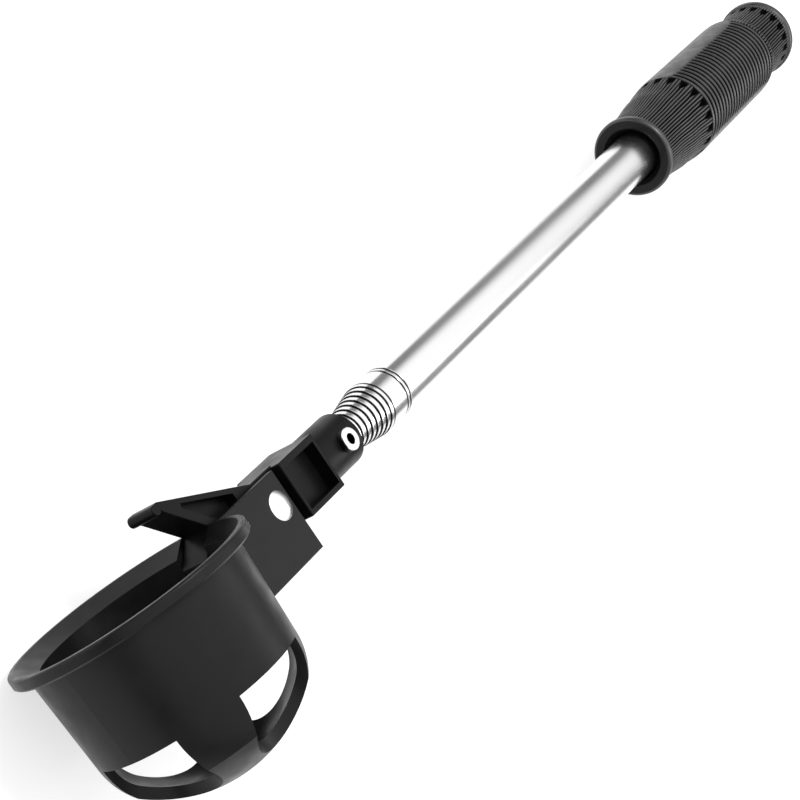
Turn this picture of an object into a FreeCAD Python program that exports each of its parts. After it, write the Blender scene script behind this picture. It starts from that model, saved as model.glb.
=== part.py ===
"""Telescopic golf ball retriever: rubber handle, nested steel shaft, hinged ball cup.

Frame, in millimetres: the origin is the centre of the handle's butt face, +X runs along the
shaft towards the head, the cup's mouth faces -Y, and +Z is along the cup's hinge pin. The
retriever is collapsed and lies on its side. Outlines of the head are given from the hinge pin.
"""
import FreeCAD, Part
import math
import os
from FreeCAD import Vector

# Handle
GRIP_LENGTH = 138.9
GRIP_BUTT = 5.0
GRIP_MIDDLE_RADIUS = 16.15
GRIP_NECK_RADIUS = 13.4
FRONT_FLANGE_RADIUS = 14.2
FRONT_FLANGE = 3.1
END_FLANGE_RADIUS = 14.8
END_FLANGE = 3.6

# Telescopic shaft
SECTIONS = 8
SHAFT_RADIUS = 8.0
RADIUS_STEP = 0.35
TUBE_WALL = 0.20
SHAFT_END = 342.2
END_SPACING = 2.2
PLUG_LENGTH = 12.0
PLUG_CHAMFER = 1.0
REAR_GAP = 0.5
OUTER_MOUTH_ROLL = 1.8
NESTED_MOUTH_ROLL = 0.5
CRIMP_FROM_END = 12.25
CRIMP_PITCH = 1.7
CRIMP_WIDTH = 1.1
CRIMP_DEPTH = 0.12
SLEEVE_START = 2.0
SLEEVE_LENGTH = 12.0
SLEEVE_CLEARANCE = 0.04
SLEEVE_SPLIT = 1.2
REAR_FLARE = 0.08
FLARE_LENGTH = 1.0
FLARE_TAPER = 0.6

# Head arm, from the hinge pin
PIN = Vector(401.0, 0.4, 0)
BARREL_RADIUS = 7.75
BARREL_BACK = -42.05
SOCKET_DEPTH = 16.0
COLLAR_RADIUS = 6.6
COLLAR_LENGTH = 2.0
COLLAR_CHAMFER = 0.3
BOSS_X = -35.3
BOSS_RADIUS = 3.2
BOSS_TOP = 9.1
BLIND_BOSS_SHOULDER = 6.85
BOX_BACK = -24.6
BOX_FRONT = -7.2
BOX_HALF = 8.15
BOX_HALF_WIDTH = 8.0
POCKET_DEPTH = 4.0
POCKET_BACK_WALL = 1.4
POCKET_FRONT_WALL = 1.0
POCKET_LOW_WALL = 1.9
POCKET_HIGH_WALL = 1.6
ARM_HALF_WIDTH = 4.7
WEB_HALF = 1.4
NOSE_RADIUS = 1.5
POCKET_ROUND = 3.6
EDGE_ROUND = 0.4
EYELET_RADIUS = 1.9
EYELET_BORE = 1.5
EYELET_FLANGE = 0.5
EYELET_ROUND = 0.3

# Hinge
PIN_RADIUS = 2.0
PIN_CLEARANCE = 0.05
PIN_HEAD_RADIUS = 4.05
PIN_HEAD_HEIGHT = 1.3
CLENCH_RADIUS = 2.75
CLENCH_HEIGHT = 0.8
CLENCH_ROUND = 0.48
CLENCH_BORE = 1.2
WASHER_RADIUS = 3.7
WASHER = 0.6
PLATE_INNER = 5.0
PLATE_OUTER = 7.2

# Ball cup, from the hinge pin
CUP_X = 54.7
RIM_Y = -8.65
RIM_RADIUS = 33.1
RIM_HEIGHT = 3.2
RIM_ROUND = 0.8
RIM_CHAMFER = 0.5
LIP_RADIUS = 31.4
FLARE_RADIUS = 26.0
FLARE_Y = -5.4
WALL_TOP_RADIUS = 29.2
WALL_BASE_RADIUS = 28.0
WALL_BASE_Y = 21.5
WALL_THICKNESS = 2.4
DOME_RADIUS = 35.0
DOME_Y = 6.3
DOME_THICKNESS = 3.0
DOME_START = 24.8
INNER_DOME_START = 22.8
WINDOW_RADIUS = 12.9
WINDOW_PITCH = 25.8
WINDOW_TOP = 20.6
SLOT_START = 15.0
SLOT_END = 31.0
SLOT_BOTTOM = 9.0

X_AXIS = Vector(1, 0, 0)
Y_AXIS = Vector(0, 1, 0)
Z_AXIS = Vector(0, 0, 1)


def shape_path(points):
    """Edges through the points; a triple of points is a line's end, or an arc's middle and end."""
    edges = []
    here = points[0]
    for step in points[1:]:
        if isinstance(step, tuple):
            middle, there = step
            edges.append(Part.Arc(here, middle, there).toShape())
        else:
            there = step
            edges.append(Part.LineSegment(here, there).toShape())
        here = there
    return Part.Wire(edges)


def turned(outline):
    """A solid turned about the shaft, from a closed outline of (x, radius) points."""
    points = [Vector(x, radius, 0) for x, radius in outline]
    face = Part.Face(Part.makePolygon(points + [points[0]]))
    return face.revolve(Vector(0, 0, 0), X_AXIS, 360)


def cylinder(centre, axis, radius, low, high):
    """A cylinder about an axis through centre, from low to high along it."""
    return Part.makeCylinder(radius, high - low, centre + axis * low, axis)


def plate(outline, low, high):
    """A flat plate with an outline in the plane of X and Y, given from the pin."""
    points = [PIN + Vector(x, y, low) for x, y in outline]
    face = Part.Face(Part.makePolygon(points + [points[0]]))
    return face.extrude(Vector(0, 0, high - low))


def box(low, high):
    """A box from its lowest corner to its highest, given from the pin."""
    size = Vector(*high) - Vector(*low)
    return Part.makeBox(size.x, size.y, size.z, PIN + Vector(*low))


def rounded_sides(shape, levels):
    """The shape with small roundings on the edges that lie at these heights along Z."""
    edges = [edge for edge in shape.Edges if any(lies_at(edge, level) for level in levels)]
    return shape.makeFillet(EDGE_ROUND, edges)


def lies_at(edge, level):
    """Whether an edge lies flat at this height along Z."""
    return all(abs(vertex.Z - level) < 0.01 for vertex in edge.Vertexes)


def tube_radius(section):
    return SHAFT_RADIUS - RADIUS_STEP * (section - 1)


def tube_end(section):
    return SHAFT_END + END_SPACING * (section - 1)


def tube_start(section):
    return GRIP_BUTT if section == 1 else GRIP_BUTT + PLUG_LENGTH + REAR_GAP


def crimps(end):
    """Where the two rolled grooves of a tube lie, from the rear one to the front one."""
    return [end - CRIMP_FROM_END, end - CRIMP_FROM_END + CRIMP_PITCH]


def side_of_tube(section, end, offset):
    """The line of one side of a tube, from its rear to its front, with its rolled features."""
    radius = tube_radius(section) + offset
    start = tube_start(section)
    points = [(start, radius)]
    if section > 1:
        flare = radius + REAR_FLARE
        flare_end = start + FLARE_LENGTH
        points = [(start, flare), (flare_end, flare), (flare_end + FLARE_TAPER, radius)]
    if section < SECTIONS:
        for groove in crimps(end):
            points += [
                (groove, radius),
                (groove + CRIMP_WIDTH * 0.3, radius - CRIMP_DEPTH),
                (groove + CRIMP_WIDTH * 0.7, radius - CRIMP_DEPTH),
                (groove + CRIMP_WIDTH, radius),
            ]
        roll = OUTER_MOUTH_ROLL if section == 1 else NESTED_MOUTH_ROLL
        points += [(end - roll, radius), (end, radius - CRIMP_DEPTH)]
    else:
        points += [(end, radius)]
    return points


def make_tube(section):
    """One section of the shaft: thin steel, rolled in at its mouth to hold the next one."""
    end = tube_end(section)
    if section == SECTIONS:
        end = PIN.x + BARREL_BACK + SOCKET_DEPTH
    outside = side_of_tube(section, end, 0)
    inside = side_of_tube(section, end, -TUBE_WALL)
    tube = turned(outside + inside[::-1])
    if section == SECTIONS:
        tube = tube.cut(cylinder(boss_centre(), Z_AXIS, EYELET_RADIUS, -BARREL_RADIUS, BARREL_RADIUS))
    return tube


def make_friction_sleeve(section):
    """The split brass sleeve round a section's rear end, which drags in the next tube's bore."""
    inner = tube_radius(section)
    outer = tube_radius(section - 1) - TUBE_WALL - SLEEVE_CLEARANCE
    start = tube_start(section) + SLEEVE_START
    end = start + SLEEVE_LENGTH
    sleeve = turned([(start, inner), (start, outer), (end, outer), (end, inner)])
    split = Part.makeBox(SLEEVE_LENGTH, SHAFT_RADIUS, SLEEVE_SPLIT, Vector(start, 0, -SLEEVE_SPLIT / 2))
    return sleeve.cut(split)


def make_rear_plug():
    """The moulded plug in the outer tube's rear end, which the nested sections rest against."""
    bore = SHAFT_RADIUS - TUBE_WALL
    end = GRIP_BUTT + PLUG_LENGTH
    return turned([(GRIP_BUTT, 0), (GRIP_BUTT, bore), (end - PLUG_CHAMFER, bore),
                   (end, bore - PLUG_CHAMFER), (end, 0)])


def make_grip():
    """The rubber grip: a fluted neck at each end, a thicker middle and a flange at each end."""
    front = GRIP_LENGTH
    outline = [
        (0, 0),
        (0, END_FLANGE_RADIUS - 0.6),
        (0.5, END_FLANGE_RADIUS),
        (END_FLANGE - 0.6, END_FLANGE_RADIUS),
        (END_FLANGE, END_FLANGE_RADIUS - 0.8),
        (8.0, GRIP_NECK_RADIUS + 0.3),
        (22.0, GRIP_NECK_RADIUS + 0.9),
        (29.5, GRIP_MIDDLE_RADIUS - 0.3),
        (31.0, GRIP_MIDDLE_RADIUS),
        (99.0, GRIP_MIDDLE_RADIUS),
        (110.3, GRIP_NECK_RADIUS + 1.5),
        (124.0, GRIP_NECK_RADIUS),
        (front - FRONT_FLANGE - 1.0, GRIP_NECK_RADIUS),
        (front - FRONT_FLANGE, FRONT_FLANGE_RADIUS - 0.4),
        (front - FRONT_FLANGE + 0.6, FRONT_FLANGE_RADIUS),
        (front - 0.6, FRONT_FLANGE_RADIUS),
        (front, FRONT_FLANGE_RADIUS - 0.6),
        (front, SHAFT_RADIUS),
        (GRIP_BUTT, SHAFT_RADIUS),
        (GRIP_BUTT, 0),
    ]
    return turned(outline)


def make_tip_collar():
    """The thin steel collar on the tip tube, tight against the arm's barrel."""
    front = PIN.x + BARREL_BACK
    inner = tube_radius(SECTIONS)
    back = front - COLLAR_LENGTH
    return turned([(back, inner), (back, COLLAR_RADIUS - COLLAR_CHAMFER),
                   (back + COLLAR_CHAMFER, COLLAR_RADIUS), (front, COLLAR_RADIUS), (front, inner)])


def boss_centre():
    return Vector(PIN.x + BOSS_X, 0, 0)


def make_arm_body():
    """The arm's barrel with its cross bosses, and the square box with a pocket in each side."""
    barrel = cylinder(Vector(PIN.x, 0, 0), X_AXIS, BARREL_RADIUS, BARREL_BACK, BOX_BACK + 1.0)
    boss = cylinder(boss_centre(), Z_AXIS, BOSS_RADIUS, 0, BOSS_TOP)
    dome = Part.makeSphere(BOSS_RADIUS, boss_centre() - Z_AXIS * BLIND_BOSS_SHOULDER)
    blind_boss = cylinder(boss_centre(), Z_AXIS, BOSS_RADIUS, -BLIND_BOSS_SHOULDER, 0)
    low = -BOX_HALF - PIN.y
    high = BOX_HALF - PIN.y
    body = box((BOX_BACK, low, -BOX_HALF_WIDTH), (BOX_FRONT, high, BOX_HALF_WIDTH))
    body = body.makeFillet(EDGE_ROUND, body.Edges)
    for side in (-1, 1):
        body = body.cut(make_pocket(side, low + POCKET_LOW_WALL, high - POCKET_HIGH_WALL))
    return barrel.fuse([boss, dome, blind_boss, body])


def make_pocket(side, low, high):
    """The room of one pocket in the box's side, whose end near the cup curves up from its floor."""
    floor = BOX_HALF_WIDTH - POCKET_DEPTH
    front = BOX_FRONT - POCKET_FRONT_WALL
    ends = sorted((side * floor, side * (BOX_HALF_WIDTH + 1)))
    room = box((BOX_BACK + POCKET_BACK_WALL, low, ends[0]), (front, high, ends[1]))
    corner = [edge for edge in room.Edges if is_pocket_corner(edge, PIN.x + front, side * floor)]
    return room.makeFillet(POCKET_ROUND, corner)


def is_pocket_corner(edge, x, z):
    """Whether an edge runs along Y at this place in X and Z."""
    middle = edge.CenterOfMass
    return abs(middle.x - x) < 0.01 and abs(middle.z - z) < 0.01


def make_tongue():
    """The neck between the cup's plates and the rising tongue, an I-beam with a round nose."""
    nose = Vector(34.9, -19.7, 0)
    outline = [(BOX_FRONT - 1, -8.9), (2.0, -8.9), (33.2, -21.2), (34.9, -21.2), (33.5, -18.3),
               (23.2, -8.0), (30.2, -2.4), (29.4, -0.6), (25.5, 1.0), (3.0, 7.5),
               (BOX_FRONT - 1, 7.5)]
    tongue = plate(outline, -ARM_HALF_WIDTH, ARM_HALF_WIDTH)
    tongue = tongue.fuse(cylinder(PIN + nose, Z_AXIS, NOSE_RADIUS, -ARM_HALF_WIDTH, ARM_HALF_WIDTH))
    tongue = rounded_sides(tongue.removeSplitter(), [-ARM_HALF_WIDTH, ARM_HALF_WIDTH])
    recess = [(9.5, -10.2), (27.0, -17.2), (27.4, -16.0), (20.6, -9.2), (17.0, -7.2), (9.5, -7.2)]
    for side in (-1, 1):
        ends = sorted((side * WEB_HALF, side * (ARM_HALF_WIDTH + 1)))
        tongue = tongue.cut(plate(recess, ends[0], ends[1]))
    return tongue


def make_head_arm():
    """The moulded arm in one piece, with its socket for the tip tube and its two cross holes."""
    arm = make_arm_body().fuse(make_tongue())
    axis = Vector(PIN.x, 0, 0)
    arm = arm.cut(cylinder(axis, X_AXIS, tube_radius(SECTIONS), BARREL_BACK - 1, BARREL_BACK + SOCKET_DEPTH))
    arm = arm.cut(cylinder(boss_centre(), Z_AXIS, EYELET_RADIUS, -BARREL_RADIUS, BOSS_TOP + 1))
    arm = arm.cut(cylinder(PIN, Z_AXIS, PIN_RADIUS + PIN_CLEARANCE, -ARM_HALF_WIDTH - 1, ARM_HALF_WIDTH + 1))
    return arm.removeSplitter()


def make_arm_rivet():
    """The eyelet through the barrel and the tip tube, flanged over the open boss."""
    shank = cylinder(boss_centre(), Z_AXIS, EYELET_RADIUS, -BARREL_RADIUS, BOSS_TOP + EYELET_FLANGE)
    flange = cylinder(boss_centre(), Z_AXIS, BOSS_RADIUS, BOSS_TOP, BOSS_TOP + EYELET_FLANGE)
    bore = cylinder(boss_centre(), Z_AXIS, EYELET_BORE, -BARREL_RADIUS + 1, BOSS_TOP + 1)
    eyelet = shank.fuse(flange).cut(bore).removeSplitter()
    top = [edge for edge in eyelet.Edges if lies_at(edge, BOSS_TOP + EYELET_FLANGE)]
    return eyelet.makeFillet(EYELET_ROUND, top)


def make_pivot_rivet():
    """The hinge pin: a domed head on one plate, and a hollow end rolled over the washer."""
    sphere_radius = (PIN_HEAD_RADIUS ** 2 + PIN_HEAD_HEIGHT ** 2) / (2 * PIN_HEAD_HEIGHT)
    centre = PIN + Z_AXIS * (PLATE_OUTER + PIN_HEAD_HEIGHT - sphere_radius)
    head = Part.makeSphere(sphere_radius, centre)
    head = head.common(cylinder(PIN, Z_AXIS, PIN_HEAD_RADIUS, PLATE_OUTER, PLATE_OUTER + PIN_HEAD_HEIGHT))
    clench_start = -PLATE_OUTER - WASHER
    shank = cylinder(PIN, Z_AXIS, PIN_RADIUS, clench_start - CLENCH_HEIGHT, PLATE_OUTER)
    roll = cylinder(PIN, Z_AXIS, CLENCH_RADIUS, clench_start - CLENCH_HEIGHT, clench_start)
    end_edge = [edge for edge in roll.Edges if lies_at(edge, clench_start - CLENCH_HEIGHT)]
    roll = roll.makeFillet(CLENCH_ROUND, end_edge)
    bore = cylinder(PIN, Z_AXIS, CLENCH_BORE, clench_start - CLENCH_HEIGHT - 1, -PLATE_INNER)
    return shank.fuse([head, roll]).cut(bore).removeSplitter()


def make_pivot_washer():
    """The flat washer between the rolled end of the pin and the cup's plate."""
    disc = cylinder(PIN, Z_AXIS, WASHER_RADIUS, -PLATE_OUTER - WASHER, -PLATE_OUTER)
    return disc.cut(cylinder(PIN, Z_AXIS, PIN_RADIUS, -PLATE_OUTER - WASHER - 1, -PLATE_OUTER + 1))


def cup_point(radius, y):
    return PIN + Vector(CUP_X + radius, y, 0)


def dome_point(radius, shell):
    """A point on the domed base, on a sphere shrunk by the shell's thickness."""
    depth = math.sqrt((DOME_RADIUS - shell) ** 2 - radius ** 2)
    return cup_point(radius, DOME_Y + depth)


def turned_about_cup(points):
    wire = shape_path(points + [points[0]])
    return Part.Face(wire).revolve(cup_point(0, 0), Y_AXIS, 360)


def cup_inside():
    """The hollow of the cup: the flare, the wall and the dome, as a solid that is cut away."""
    base_radius = WALL_BASE_RADIUS - WALL_THICKNESS
    base_corner = cup_point(base_radius - 0.75, WALL_BASE_Y + 3.9)
    above = RIM_Y - 1.0
    slope = (LIP_RADIUS - FLARE_RADIUS) / (FLARE_Y - RIM_Y)
    points = [
        cup_point(0, above),
        cup_point(LIP_RADIUS + slope, above),
        cup_point(FLARE_RADIUS, FLARE_Y),
        cup_point(base_radius, WALL_BASE_Y),
        (base_corner, dome_point(INNER_DOME_START, DOME_THICKNESS)),
        (dome_point(12.0, DOME_THICKNESS), dome_point(0, DOME_THICKNESS)),
    ]
    return turned_about_cup(points)


def cup_outside():
    """The outer form of the cup: rim, wall and domed base, as a solid."""
    to_middle = RIM_ROUND * (1 - math.sqrt(0.5))
    rim_corner = cup_point(RIM_RADIUS - to_middle, RIM_Y + to_middle)
    base_corner = cup_point(WALL_BASE_RADIUS - 0.85, WALL_BASE_Y + 4.6)
    points = [
        cup_point(0, RIM_Y),
        cup_point(RIM_RADIUS - RIM_ROUND, RIM_Y),
        (rim_corner, cup_point(RIM_RADIUS, RIM_Y + RIM_ROUND)),
        cup_point(RIM_RADIUS, RIM_Y + RIM_HEIGHT - RIM_CHAMFER),
        cup_point(RIM_RADIUS - RIM_CHAMFER, RIM_Y + RIM_HEIGHT),
        cup_point(WALL_TOP_RADIUS, RIM_Y + RIM_HEIGHT),
        cup_point(WALL_BASE_RADIUS, WALL_BASE_Y),
        (base_corner, dome_point(DOME_START, 0)),
        (dome_point(13.0, 0), dome_point(0, 0)),
    ]
    return turned_about_cup(points)


def make_ball_cup():
    """The moulded cup with its two hinge plates, four windows and the slot for the arm."""
    outline = [(-4.8, RIM_Y + 0.4), (24.5, RIM_Y + 0.4), (28.0, -5.0), (28.4, 15.4), (-4.8, 15.4)]
    cup = cup_outside()
    for side in (-1, 1):
        ends = sorted((side * PLATE_INNER, side * PLATE_OUTER))
        cup = cup.fuse(rounded_sides(plate(outline, ends[0], ends[1]), [side * PLATE_OUTER]))
    cup = cup.cut(cup_inside())
    for quarter in range(4):
        angle = math.radians(90 * quarter)
        centre = cup_point(0, 0) + Vector(math.cos(angle), 0, math.sin(angle)) * WINDOW_PITCH
        cup = cup.cut(cylinder(centre, Y_AXIS, WINDOW_RADIUS, WINDOW_TOP, DOME_Y + DOME_RADIUS + 5))
    cup = cup.cut(box((SLOT_START, RIM_Y - 1, -PLATE_INNER), (SLOT_END, SLOT_BOTTOM, PLATE_INNER)))
    cup = cup.cut(cylinder(PIN, Z_AXIS, PIN_RADIUS, -PLATE_OUTER - 1, PLATE_OUTER + 1))
    return cup.removeSplitter()


def make_all():
    nodes = {
        "rubber_grip": make_grip(),
        "rear_plug": make_rear_plug(),
        "outer_tube": make_tube(1),
        "tip_collar": make_tip_collar(),
        "head_arm": make_head_arm(),
        "arm_rivet": make_arm_rivet(),
        "ball_cup": make_ball_cup(),
        "pivot_rivet": make_pivot_rivet(),
        "pivot_washer": make_pivot_washer(),
    }
    for section in range(2, SECTIONS + 1):
        nodes["tube_%d" % section] = make_tube(section)
        nodes["friction_sleeve_%d" % section] = make_friction_sleeve(section)
    return nodes


def print_travels():
    """Each section's travel, from its nested place until its sleeve meets the next tube's crimp."""
    for section in range(2, SECTIONS + 1):
        sleeve_front = tube_start(section) + SLEEVE_START + SLEEVE_LENGTH
        print("travel of tube_%d: %.1f" % (section, crimps(tube_end(section - 1))[0] - sleeve_front))


os.makedirs("parts", exist_ok=True)
for name, shape in make_all().items():
    shape.exportStep("parts/%s.step" % name)
    print("%-20s solids %d valid %s volume %.0f" % (name, len(shape.Solids), shape.isValid(), shape.Volume))
print_travels()
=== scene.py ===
"""Looks for the golf ball retriever: camera, light, floor, the moulded grip and every material.

Lengths are in metres, in the CAD frame: +X from the butt to the head, -Y out of the cup's mouth.
"""
import math

import bmesh
import bpy
from mathutils import Matrix, Vector


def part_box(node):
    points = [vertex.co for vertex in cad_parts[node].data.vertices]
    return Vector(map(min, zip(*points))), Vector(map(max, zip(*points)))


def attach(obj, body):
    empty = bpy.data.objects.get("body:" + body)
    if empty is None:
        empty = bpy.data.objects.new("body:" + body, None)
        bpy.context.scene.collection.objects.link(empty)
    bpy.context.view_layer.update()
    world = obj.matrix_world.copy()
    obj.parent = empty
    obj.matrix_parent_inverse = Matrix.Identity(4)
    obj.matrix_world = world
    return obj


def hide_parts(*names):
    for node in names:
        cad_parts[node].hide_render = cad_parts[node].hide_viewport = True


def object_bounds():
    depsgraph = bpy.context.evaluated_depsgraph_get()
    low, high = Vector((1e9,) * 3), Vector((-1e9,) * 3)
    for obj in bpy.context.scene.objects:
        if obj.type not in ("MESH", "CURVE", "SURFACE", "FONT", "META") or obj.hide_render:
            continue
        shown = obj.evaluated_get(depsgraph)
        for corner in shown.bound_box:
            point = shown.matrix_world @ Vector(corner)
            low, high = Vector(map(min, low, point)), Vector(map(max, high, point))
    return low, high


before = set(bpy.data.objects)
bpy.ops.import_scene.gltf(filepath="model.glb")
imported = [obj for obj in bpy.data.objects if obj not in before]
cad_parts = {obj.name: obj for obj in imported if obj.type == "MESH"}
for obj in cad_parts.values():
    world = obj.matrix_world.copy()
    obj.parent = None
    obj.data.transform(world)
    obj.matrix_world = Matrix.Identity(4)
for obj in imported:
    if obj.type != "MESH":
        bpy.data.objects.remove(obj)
cad_low, cad_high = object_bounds()

MM = 0.001

# Camera
CAMERA_FROM_PIN = Vector((407.5, -84.2, 366.9)) * MM
CAMERA_AZIMUTH = 169.67
CAMERA_DIP = 36.82
CAMERA_ROLL = 62.6
CAMERA_LENS = 98.5

# Studio: how bright the surroundings are at the horizon and overhead
HORIZON_LIGHT = 0.25
OVERHEAD_LIGHT = 1.25
HORIZON_TOP = 0.3
OVERHEAD_START = 0.5

# Painted shade: dark lines on a tube at its rolled mouth and its grooves, each as its distance back from
# the mouth and its half width, in millimetres
MOUTH_SHADE_LINES = [(0.1, 0.34), (10.0, 0.5), (11.7, 0.5)]
OUTER_MOUTH_SHADE_LINE = (1.8, 0.5)

# Painted shade: the eyelet is dark below this height along Z, in millimetres, which is its flange's
# underside
EYELET_FLANGE_BASE = 9.1

# Grip, from the butt face, in millimetres
RIBS = 20
RIDGES_PER_RIB = 4
COLUMNS_PER_RIDGE = 8
GRIP_COLUMNS = RIBS * RIDGES_PER_RIB * COLUMNS_PER_RIDGE
RIDGE_DEPTH = 0.6
RIB_GROOVE_DEPTH = 1.0
VALLEY_COLUMNS = 2.5
NOTCH_LENGTH = 7.5
NOTCH_HALF_WIDTH = 1.8
NOTCH_DEPTH = 2.6
END_FLANGE = 3.6
BUTT_NOTCHES = END_FLANGE + 1.2
FRONT_FLANGE = 3.1
RING_START = 30.5
RING_END = 99.5
RING_COUNT = 23
RING_DEPTH = 1.0
RING_ROUNDNESS = 0.6
PANEL_HALF_ANGLE = math.radians(36.5)
PANEL_SQUARENESS = 8
PANEL_EDGE_INSIDE = 0.03
PANEL_EDGE_OUTSIDE = 0.02

# Rows of points along the grip
ROWS_PER_RING = 8
BUTT_NECK_ROWS = 30
NOTCH_ROWS = 12
FRONT_NECK_ROWS = 24
STEP_GAP = 0.01

# Painted shade, as a cut in the grip's reflection, on the front face and the smooth panels, from 0 on a
# ridge's top to 0.5 in its valley
FACE_PAINTED_SHADE = 0.4
PANEL_PAINTED_SHADE = 0.3
FULL_PAINTED_SHADE = 0.5

# Outlines of the grip as (x, radius) points: its body and butt from the butt face, the front flange
# from where it starts, and the flange's rounded edge, face and bore back from the front face
BODY_PROFILE = [(3.6, 14.0), (12.0, 13.9), (22.0, 14.2), (30.5, 16.0), (34.0, 16.1), (97.0, 16.1),
                (99.5, 16.0), (112.0, 14.9), (127.0, 13.6), (136.0, 13.4)]
BUTT_PROFILE = [(0.0, 13.8), (0.06, 14.2), (0.25, 14.5), (0.6, 14.72), (1.1, 14.8), (2.7, 14.8),
                (3.2, 14.65), (3.5, 14.4)]
FLANGE_PROFILE = [(0.0, 13.5), (0.08, 13.8), (0.4, 14.1), (0.9, 14.2)]
EDGE_PROFILE = [(0.9, 14.2), (0.35, 14.05), (0.06, 13.6)]
FACE_PROFILE = [(0.0, 13.2), (0.0, 10.7), (0.08, 10.5), (0.5, 10.35), (0.9, 10.2), (1.4, 9.6),
                (2.4, 8.9), (3.6, 8.4), (5.0, 8.02), (7.0, 8.02)]


def look_through_camera():
    """The camera, set by where it stands from the hinge pin and which way it looks."""
    pin_low, pin_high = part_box("pivot_washer")
    pin = Vector(((pin_low.x + pin_high.x) / 2, (pin_low.y + pin_high.y) / 2, 0))
    azimuth = math.radians(CAMERA_AZIMUTH)
    dip = math.radians(CAMERA_DIP)
    forward = Vector((math.cos(azimuth) * math.cos(dip), math.sin(azimuth) * math.cos(dip), -math.sin(dip)))
    level = forward.cross(Vector((0, 0, 1))).normalized()
    upright = level.cross(forward)
    roll = math.radians(CAMERA_ROLL)
    right = level * math.cos(roll) + upright * math.sin(roll)
    up = right.cross(forward)
    data = bpy.data.cameras.new("camera")
    data.lens = CAMERA_LENS
    data.sensor_width = 36.0
    data.clip_start = 0.01
    data.clip_end = 100.0
    camera = bpy.data.objects.new("camera", data)
    camera.matrix_world = Matrix.Translation(pin + CAMERA_FROM_PIN) @ Matrix(
        (right, up, -forward)).transposed().to_4x4()
    bpy.context.scene.collection.objects.link(camera)
    bpy.context.scene.camera = camera


def add_light(name, place, target, size, power):
    data = bpy.data.lights.new(name, "AREA")
    data.shape = "RECTANGLE"
    data.size = size[0]
    data.size_y = size[1]
    data.energy = power
    light = bpy.data.objects.new(name, data)
    light.location = place
    light.rotation_euler = (Vector(target) - Vector(place)).to_track_quat("-Z", "Y").to_euler()
    bpy.context.scene.collection.objects.link(light)


def light_world():
    """Grey surroundings at the horizon and a white sky, as in a tent lit from above."""
    world = bpy.data.worlds.new("studio")
    world.use_nodes = True
    tree = world.node_tree
    direction = tree.nodes.new("ShaderNodeTexCoord")
    split = tree.nodes.new("ShaderNodeSeparateXYZ")
    tree.links.new(direction.outputs["Generated"], split.inputs["Vector"])
    strength = remap(tree, split.outputs["Z"], HORIZON_LIGHT, OVERHEAD_LIGHT, HORIZON_TOP, OVERHEAD_START)
    background = tree.nodes["Background"]
    background.inputs["Color"].default_value = (1.0, 1.0, 1.0, 1)
    tree.links.new(strength, background.inputs["Strength"])
    bpy.context.scene.world = world


def make_stage():
    """A plain white floor under the cup's rim out to the horizon, and soft light from overhead."""
    size = 40.0
    data = bpy.data.meshes.new("floor")
    height = cad_low.z - 0.0005
    corners = [(-size, -size), (size, -size), (size, size), (-size, size)]
    data.from_pydata([(x, y, height) for x, y in corners], [], [(0, 1, 2, 3)])
    floor = bpy.data.objects.new("floor", data)
    bpy.context.scene.collection.objects.link(floor)
    floor.data.materials.append(floor_material())
    light_world()
    middle = (0.28, 0.0, 0.0)
    add_light("key", (0.25, -0.35, 1.1), middle, (0.25, 0.25), 6)
    add_light("rim", (-0.4, 0.6, 0.6), middle, (0.6, 0.4), 2)


def new_material(name, color, roughness, metallic=0.0):
    material = bpy.data.materials.new(name)
    material.use_nodes = True
    shader = material.node_tree.nodes["Principled BSDF"]
    shader.inputs["Base Color"].default_value = (*color, 1)
    shader.inputs["Roughness"].default_value = roughness
    shader.inputs["Metallic"].default_value = metallic
    return material, material.node_tree, shader


def add_node(tree, kind, **values):
    """A node with its inputs set by name, with spaces written as underscores."""
    node = tree.nodes.new(kind)
    for key, value in values.items():
        node.inputs[key.replace("_", " ")].default_value = value
    return node


def object_coordinates(tree, stretch=(1, 1, 1)):
    """Object coordinates, stretched along the axes."""
    source = tree.nodes.new("ShaderNodeTexCoord")
    mapping = tree.nodes.new("ShaderNodeMapping")
    mapping.inputs["Scale"].default_value = stretch
    tree.links.new(source.outputs["Object"], mapping.inputs["Vector"])
    return mapping.outputs["Vector"]


def noise(tree, scale, detail=3.0, stretch=(1, 1, 1)):
    node = add_node(tree, "ShaderNodeTexNoise", Scale=scale, Detail=detail)
    tree.links.new(object_coordinates(tree, stretch), node.inputs["Vector"])
    return node.outputs["Fac"]


def remap(tree, value, low, high, from_low=0.3, from_high=0.7):
    node = add_node(tree, "ShaderNodeMapRange", From_Min=from_low, From_Max=from_high,
                    To_Min=low, To_Max=high)
    tree.links.new(value, node.inputs["Value"])
    return node.outputs["Result"]


def mix_colors(tree, factor, first, second):
    node = tree.nodes.new("ShaderNodeMix")
    node.data_type = "RGBA"
    node.inputs["A"].default_value = (*first, 1)
    node.inputs["B"].default_value = (*second, 1)
    tree.links.new(factor, node.inputs["Factor"])
    return node.outputs["Result"]


def bump(tree, shader, height, depth, strength=1.0):
    node = add_node(tree, "ShaderNodeBump", Strength=strength, Distance=depth)
    tree.links.new(height, node.inputs["Height"])
    tree.links.new(node.outputs["Normal"], shader.inputs["Normal"])


def floor_material():
    material, tree, shader = new_material("floor_paper", (0.4, 0.4, 0.4), 0.9)
    shader.inputs["Emission Color"].default_value = (1.0, 1.0, 1.0, 1)
    shader.inputs["Emission Strength"].default_value = 0.66
    tint = remap(tree, noise(tree, 3.0), 0.0, 1.0)
    paper = mix_colors(tree, tint, (0.39, 0.39, 0.39), (0.41, 0.41, 0.41))
    tree.links.new(paper, shader.inputs["Base Color"])
    return material


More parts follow.
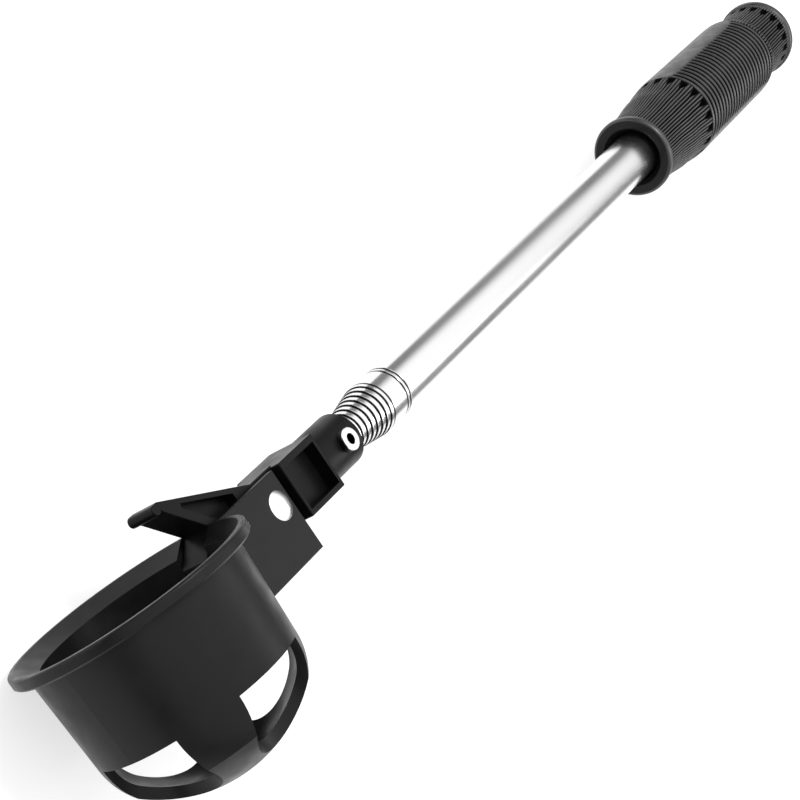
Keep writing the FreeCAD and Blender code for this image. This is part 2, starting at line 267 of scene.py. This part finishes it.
def moulded_plastic(name, dark, light, roughness, shine):
    """Semi-matt moulded plastic: a fine spark texture, and faint clouds in its colour and gloss."""
    material, tree, shader = new_material(name, dark, roughness)
    cloud = noise(tree, 28.0, 4.0)
    tree.links.new(mix_colors(tree, remap(tree, cloud, 0.0, 1.0), dark, light), shader.inputs["Base Color"])
    tree.links.new(remap(tree, noise(tree, 160.0, 2.0), roughness - 0.06, roughness + 0.08),
                   shader.inputs["Roughness"])
    bump(tree, shader, noise(tree, 2600.0, 2.0), 0.00004, 0.35)
    shader.inputs["Specular IOR Level"].default_value = shine
    return material


def polished_steel(name, color, roughness):
    """Polished metal: mirror-like, with faint polishing lines across X and soft smudges."""
    material, tree, shader = new_material(name, color, roughness, 1.0)
    smudge = noise(tree, 40.0, 3.0, (0.35, 1, 1))
    tree.links.new(remap(tree, smudge, roughness - 0.05, roughness + 0.07), shader.inputs["Roughness"])
    bump(tree, shader, noise(tree, 900.0, 2.0, (1, 0.02, 0.02)), 0.000004, 0.25)
    darker = tuple(c * 0.94 for c in color)
    cloud = remap(tree, noise(tree, 14.0, 2.0, (0.2, 1, 1)), 0, 1)
    tree.links.new(mix_colors(tree, cloud, darker, color), shader.inputs["Base Color"])
    return material, tree, shader


def painted_shade_ring(tree, along, centre, soft):
    """Mask of a painted shade line: 1 on a thin ring round a tube at this distance along it, and 0 away
    from the ring.
    """
    shift = tree.nodes.new("ShaderNodeMath")
    shift.operation = "SUBTRACT"
    shift.inputs[1].default_value = centre
    tree.links.new(along, shift.inputs[0])
    distance = tree.nodes.new("ShaderNodeMath")
    distance.operation = "ABSOLUTE"
    tree.links.new(shift.outputs["Value"], distance.inputs[0])
    return remap(tree, distance.outputs["Value"], 1.0, 0.0, soft * 0.5, soft)


def tube_steel(name, mouth, lines_back):
    """Polished tube with painted shade: dark lines at its rolled mouth and at the two grooves behind it."""
    material, tree, shader = polished_steel(name, (0.82, 0.82, 0.825), 0.2)
    split = tree.nodes.new("ShaderNodeSeparateXYZ")
    tree.links.new(object_coordinates(tree), split.inputs["Vector"])
    along = split.outputs["X"]
    # Painted shade: one dark ring at each listed distance back from the mouth
    rings = [painted_shade_ring(tree, along, mouth - back * MM, width * MM) for back, width in lines_back]
    lines = rings[0]
    for ring in rings[1:]:
        both = tree.nodes.new("ShaderNodeMath")
        both.operation = "MAXIMUM"
        tree.links.new(lines, both.inputs[0])
        tree.links.new(ring, both.inputs[1])
        lines = both.outputs["Value"]
    # Paints the shade lines into the tube's colour
    paint_shade(tree, shader, lines)
    return material


def paint_shade(tree, shader, share):
    """Paints shade: takes the shader's colour down to near black wherever the share is 1."""
    bare = shader.inputs["Base Color"].links[0].from_socket
    node = tree.nodes.new("ShaderNodeMix")
    node.data_type = "RGBA"
    tree.links.new(share, node.inputs["Factor"])
    tree.links.new(bare, node.inputs["A"])
    node.inputs["B"].default_value = (0.01, 0.01, 0.01, 1)
    tree.links.new(node.outputs["Result"], shader.inputs["Base Color"])


def eyelet_steel_and_bore_shade():
    """Bright nickel on the eyelet's flange, and painted shade below it: its bore is darkened to near black.
    """
    material, tree, shader = polished_steel("eyelet_steel_and_bore_shade", (0.93, 0.93, 0.93), 0.25)
    split = tree.nodes.new("ShaderNodeSeparateXYZ")
    tree.links.new(object_coordinates(tree), split.inputs["Vector"])
    base = EYELET_FLANGE_BASE * MM
    # Painted shade in the eyelet's bore, below the flange's underside
    paint_shade(tree, shader, remap(tree, split.outputs["Z"], 1.0, 0.0, base - 0.1 * MM, base + 0.1 * MM))
    return material


def grip_rubber():
    """Black moulded rubber with a painted highlight and painted shade: the ridges' tops reflect strongly,
    and their valleys hardly at all.
    """
    material, tree, shader = new_material("grip_rubber", (0.002, 0.002, 0.002), 0.36)
    dust = remap(tree, noise(tree, 60.0, 4.0), 0.0, 1.0, 0.35, 0.75)
    tree.links.new(mix_colors(tree, dust, (0.0015, 0.0015, 0.0015), (0.004, 0.004, 0.004)),
                   shader.inputs["Base Color"])
    tree.links.new(remap(tree, noise(tree, 300.0, 2.0), 0.32, 0.44), shader.inputs["Roughness"])
    bump(tree, shader, noise(tree, 3500.0, 2.0), 0.00003, 0.3)
    # Painted highlight and shade: the reflection is raised on the ridges' tops, cut to almost nothing in
    # their valleys, and partly cut on the front face and the panels
    valley = tree.nodes.new("ShaderNodeAttribute")
    valley.attribute_name = "valley"
    tree.links.new(remap(tree, valley.outputs["Fac"], 0.95, 0.02, 0.05, FULL_PAINTED_SHADE),
                   shader.inputs["Specular IOR Level"])
    return material


def smooth_step(value, start, end):
    t = min(1.0, max(0.0, (value - start) / (end - start)))
    return t * t * (3 - 2 * t)


def blend_points(x, points):
    """The height of a smooth curve through (x, height) points."""
    if x <= points[0][0]:
        return points[0][1]
    for (x0, y0), (x1, y1) in zip(points[:-1], points[1:]):
        if x <= x1:
            return y0 + (y1 - y0) * smooth_step(x, x0, x1)
    return points[-1][1]


def body_radius(x):
    return blend_points(x, BODY_PROFILE)


def panel_share(x, angle):
    """1 inside the two smooth panels, which face +Y and -Y, and 0 outside them."""
    turn = math.acos(min(1.0, abs(math.cos(angle))))
    along = (x - (RING_START + RING_END) / 2) / ((RING_END - RING_START) / 2 + 1.0)
    edge = PANEL_HALF_ANGLE * max(0.0, 1 - abs(along) ** PANEL_SQUARENESS) ** (1 / PANEL_SQUARENESS)
    return 1 - smooth_step(turn, edge - PANEL_EDGE_INSIDE, edge + PANEL_EDGE_OUTSIDE)


def ring_drop(x, angle):
    """The middle of the grip: fine rounded rings, broken by two smooth panels."""
    pitch = (RING_END - RING_START) / RING_COUNT
    phase = ((x - RING_START) / pitch) % 1.0
    ridge = abs(math.sin(math.pi * phase)) ** RING_ROUNDNESS
    return RING_DEPTH * (1 - ridge) * (1 - panel_share(x, angle))


def ridge_drop(column):
    """The fine straight ridges of the necks: a narrow valley between flat tops."""
    step = column % COLUMNS_PER_RIDGE
    from_valley = min(step, COLUMNS_PER_RIDGE - step)
    nearest = round(column / COLUMNS_PER_RIDGE)
    depth = RIB_GROOVE_DEPTH if nearest % RIDGES_PER_RIB == 0 else RIDGE_DEPTH
    return depth * max(0.0, 1 - from_valley / VALLEY_COLUMNS)


def notch_drop(x, angle, wide_end):
    """The triangular notch between two ribs: deepest and widest where the ribs end."""
    left = 1 - (x - wide_end) / NOTCH_LENGTH
    if left <= 0 or left > 1:
        return 0.0
    pitch = 2 * math.pi / RIBS
    from_middle = abs(((angle / pitch + 0.5) % 1.0) - 0.5) * pitch * body_radius(x)
    half_width = NOTCH_HALF_WIDTH * left
    return NOTCH_DEPTH * left ** 0.5 * max(0.0, 1 - from_middle / half_width)


def grip_radius(x, column):
    angle = 2 * math.pi * column / GRIP_COLUMNS
    if RING_START <= x <= RING_END:
        return body_radius(x) - ring_drop(x, angle)
    wide_end = RING_END if x > RING_END else BUTT_NOTCHES
    fade = min(1.0, x - END_FLANGE)
    drop = max(ridge_drop(column), notch_drop(x, angle, wide_end)) * fade
    return body_radius(x) - drop


def evenly(start, end, steps):
    return [start + (end - start) * i / steps for i in range(steps + 1)]


def grip_stations(length):
    """Where the grip's rows of points lie along X: closer over the rings and at the notches."""
    front = length - FRONT_FLANGE - 0.05
    stations = [END_FLANGE + STEP_GAP, END_FLANGE + 1.0, BUTT_NOTCHES - STEP_GAP]
    stations += evenly(BUTT_NOTCHES + STEP_GAP, RING_START - 0.25, BUTT_NECK_ROWS)
    stations += [RING_START - STEP_GAP]
    stations += evenly(RING_START, RING_END, RING_COUNT * ROWS_PER_RING)
    stations += evenly(RING_END + STEP_GAP, RING_END + NOTCH_LENGTH, NOTCH_ROWS)
    stations += evenly(RING_END + NOTCH_LENGTH + 1.0, front, FRONT_NECK_ROWS)
    return stations


def plain_row(x, radius, valley=0.0):
    """One round row of points: its place along X, its radii, and how deep its points count as."""
    return x, [radius] * GRIP_COLUMNS, [valley] * GRIP_COLUMNS


def ridged_row(x, angles):
    """One row of points across the ridges, and how deep each is, where 1 is a ridge's valley."""
    radii = [grip_radius(x, column) for column in range(GRIP_COLUMNS)]
    valleys = [max((body_radius(x) - radius) / RIDGE_DEPTH, PANEL_PAINTED_SHADE * panel_share(x, angle))
               for radius, angle in zip(radii, angles)]
    return x, radii, valleys


def grip_rows(length, angles):
    """Every row of the grip's points, from the butt round to the bore at the front."""
    rows = [plain_row(x, radius) for x, radius in BUTT_PROFILE]
    rows += [ridged_row(x, angles) for x in grip_stations(length)]
    rows += [plain_row(length - FRONT_FLANGE + x, radius) for x, radius in FLANGE_PROFILE]
    rows += [plain_row(length - back, radius) for back, radius in EDGE_PROFILE]
    rows += [plain_row(length - back, radius, FACE_PAINTED_SHADE) for back, radius in FACE_PROFILE]
    return rows


def skin_faces(row_count):
    """The faces between the rows of points, and the two that close the ends."""
    faces = []
    for row in range(row_count - 1):
        first = row * GRIP_COLUMNS
        second = first + GRIP_COLUMNS
        for column in range(GRIP_COLUMNS):
            after = (column + 1) % GRIP_COLUMNS
            faces.append((first + column, first + after, second + after, second + column))
    faces.append(tuple(reversed(range(GRIP_COLUMNS))))
    last = (row_count - 1) * GRIP_COLUMNS
    faces.append(tuple(last + column for column in range(GRIP_COLUMNS)))
    return faces


def point_faces_outward(data):
    """Turns every face of a closed mesh to face out."""
    mesh = bmesh.new()
    mesh.from_mesh(data)
    bmesh.ops.recalc_face_normals(mesh, faces=mesh.faces)
    mesh.to_mesh(data)
    mesh.free()


def make_grip_piece():
    """The moulded grip as one closed skin, whose points also hold how deep in a valley they are, for the
    grip's painted shade.
    """
    low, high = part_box("rubber_grip")
    angles = [2 * math.pi * column / GRIP_COLUMNS for column in range(GRIP_COLUMNS)]
    rows = grip_rows((high.x - low.x) / MM, angles)
    vertices = []
    valleys = []
    for x, radii, row_valleys in rows:
        for angle, radius in zip(angles, radii):
            vertices.append((x * MM, -radius * math.cos(angle) * MM, radius * math.sin(angle) * MM))
        valleys.extend(row_valleys)
    data = bpy.data.meshes.new("moulded_grip")
    data.from_pydata(vertices, [], skin_faces(len(rows)))
    data.validate()
    point_faces_outward(data)
    data.attributes.new("valley", "FLOAT", "POINT").data.foreach_set("value", valleys)
    for polygon in data.polygons:
        polygon.use_smooth = len(polygon.vertices) == 4
    grip = bpy.data.objects.new("moulded_grip", data)
    bpy.context.scene.collection.objects.link(grip)
    data.materials.append(grip_rubber())
    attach(grip, "handle")
    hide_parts("rubber_grip")


def give(node, material):
    """Puts a material on a CAD node, in its slots."""
    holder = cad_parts[node]
    if not holder.data.materials:
        holder.data.materials.append(material)
    for slot in holder.material_slots:
        slot.link = "OBJECT"
        slot.material = material


def dress_cad_nodes():
    # The outer tube gets one more painted shade line behind its mouth
    outer_shade_lines = MOUTH_SHADE_LINES + [OUTER_MOUTH_SHADE_LINE]
    give("outer_tube", tube_steel("steel_of_outer_tube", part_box("outer_tube")[1].x, outer_shade_lines))
    for section in range(2, 9):
        node = "tube_%d" % section
        give(node, tube_steel("steel_of_" + node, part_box(node)[1].x, MOUTH_SHADE_LINES))
        name = "friction_sleeve_%d" % section
        give(name, polished_steel("brass_of_" + name, (0.72, 0.55, 0.25), 0.3)[0])
    give("tip_collar", polished_steel("collar_steel", (0.86, 0.86, 0.87), 0.12)[0])
    rivet = polished_steel("rivet_steel", (0.93, 0.93, 0.93), 0.25)[0]
    give("arm_rivet", eyelet_steel_and_bore_shade())
    give("pivot_rivet", rivet)
    give("pivot_washer", polished_steel("washer_steel", (0.75, 0.75, 0.76), 0.3)[0])
    cup = moulded_plastic("cup_plastic", (0.004, 0.004, 0.0041), (0.006, 0.006, 0.0062), 0.36, 0.2)
    give("ball_cup", cup)
    arm = moulded_plastic("arm_plastic", (0.0025, 0.0025, 0.0026), (0.0045, 0.0045, 0.0047), 0.36, 0.13)
    give("head_arm", arm)
    plug = moulded_plastic("plug_plastic", (0.03, 0.03, 0.03), (0.04, 0.04, 0.04), 0.5, 0.5)
    give("rear_plug", plug)


bpy.context.scene.view_settings.view_transform = "Standard"
look_through_camera()
make_stage()
make_grip_piece()
dress_cad_nodes()
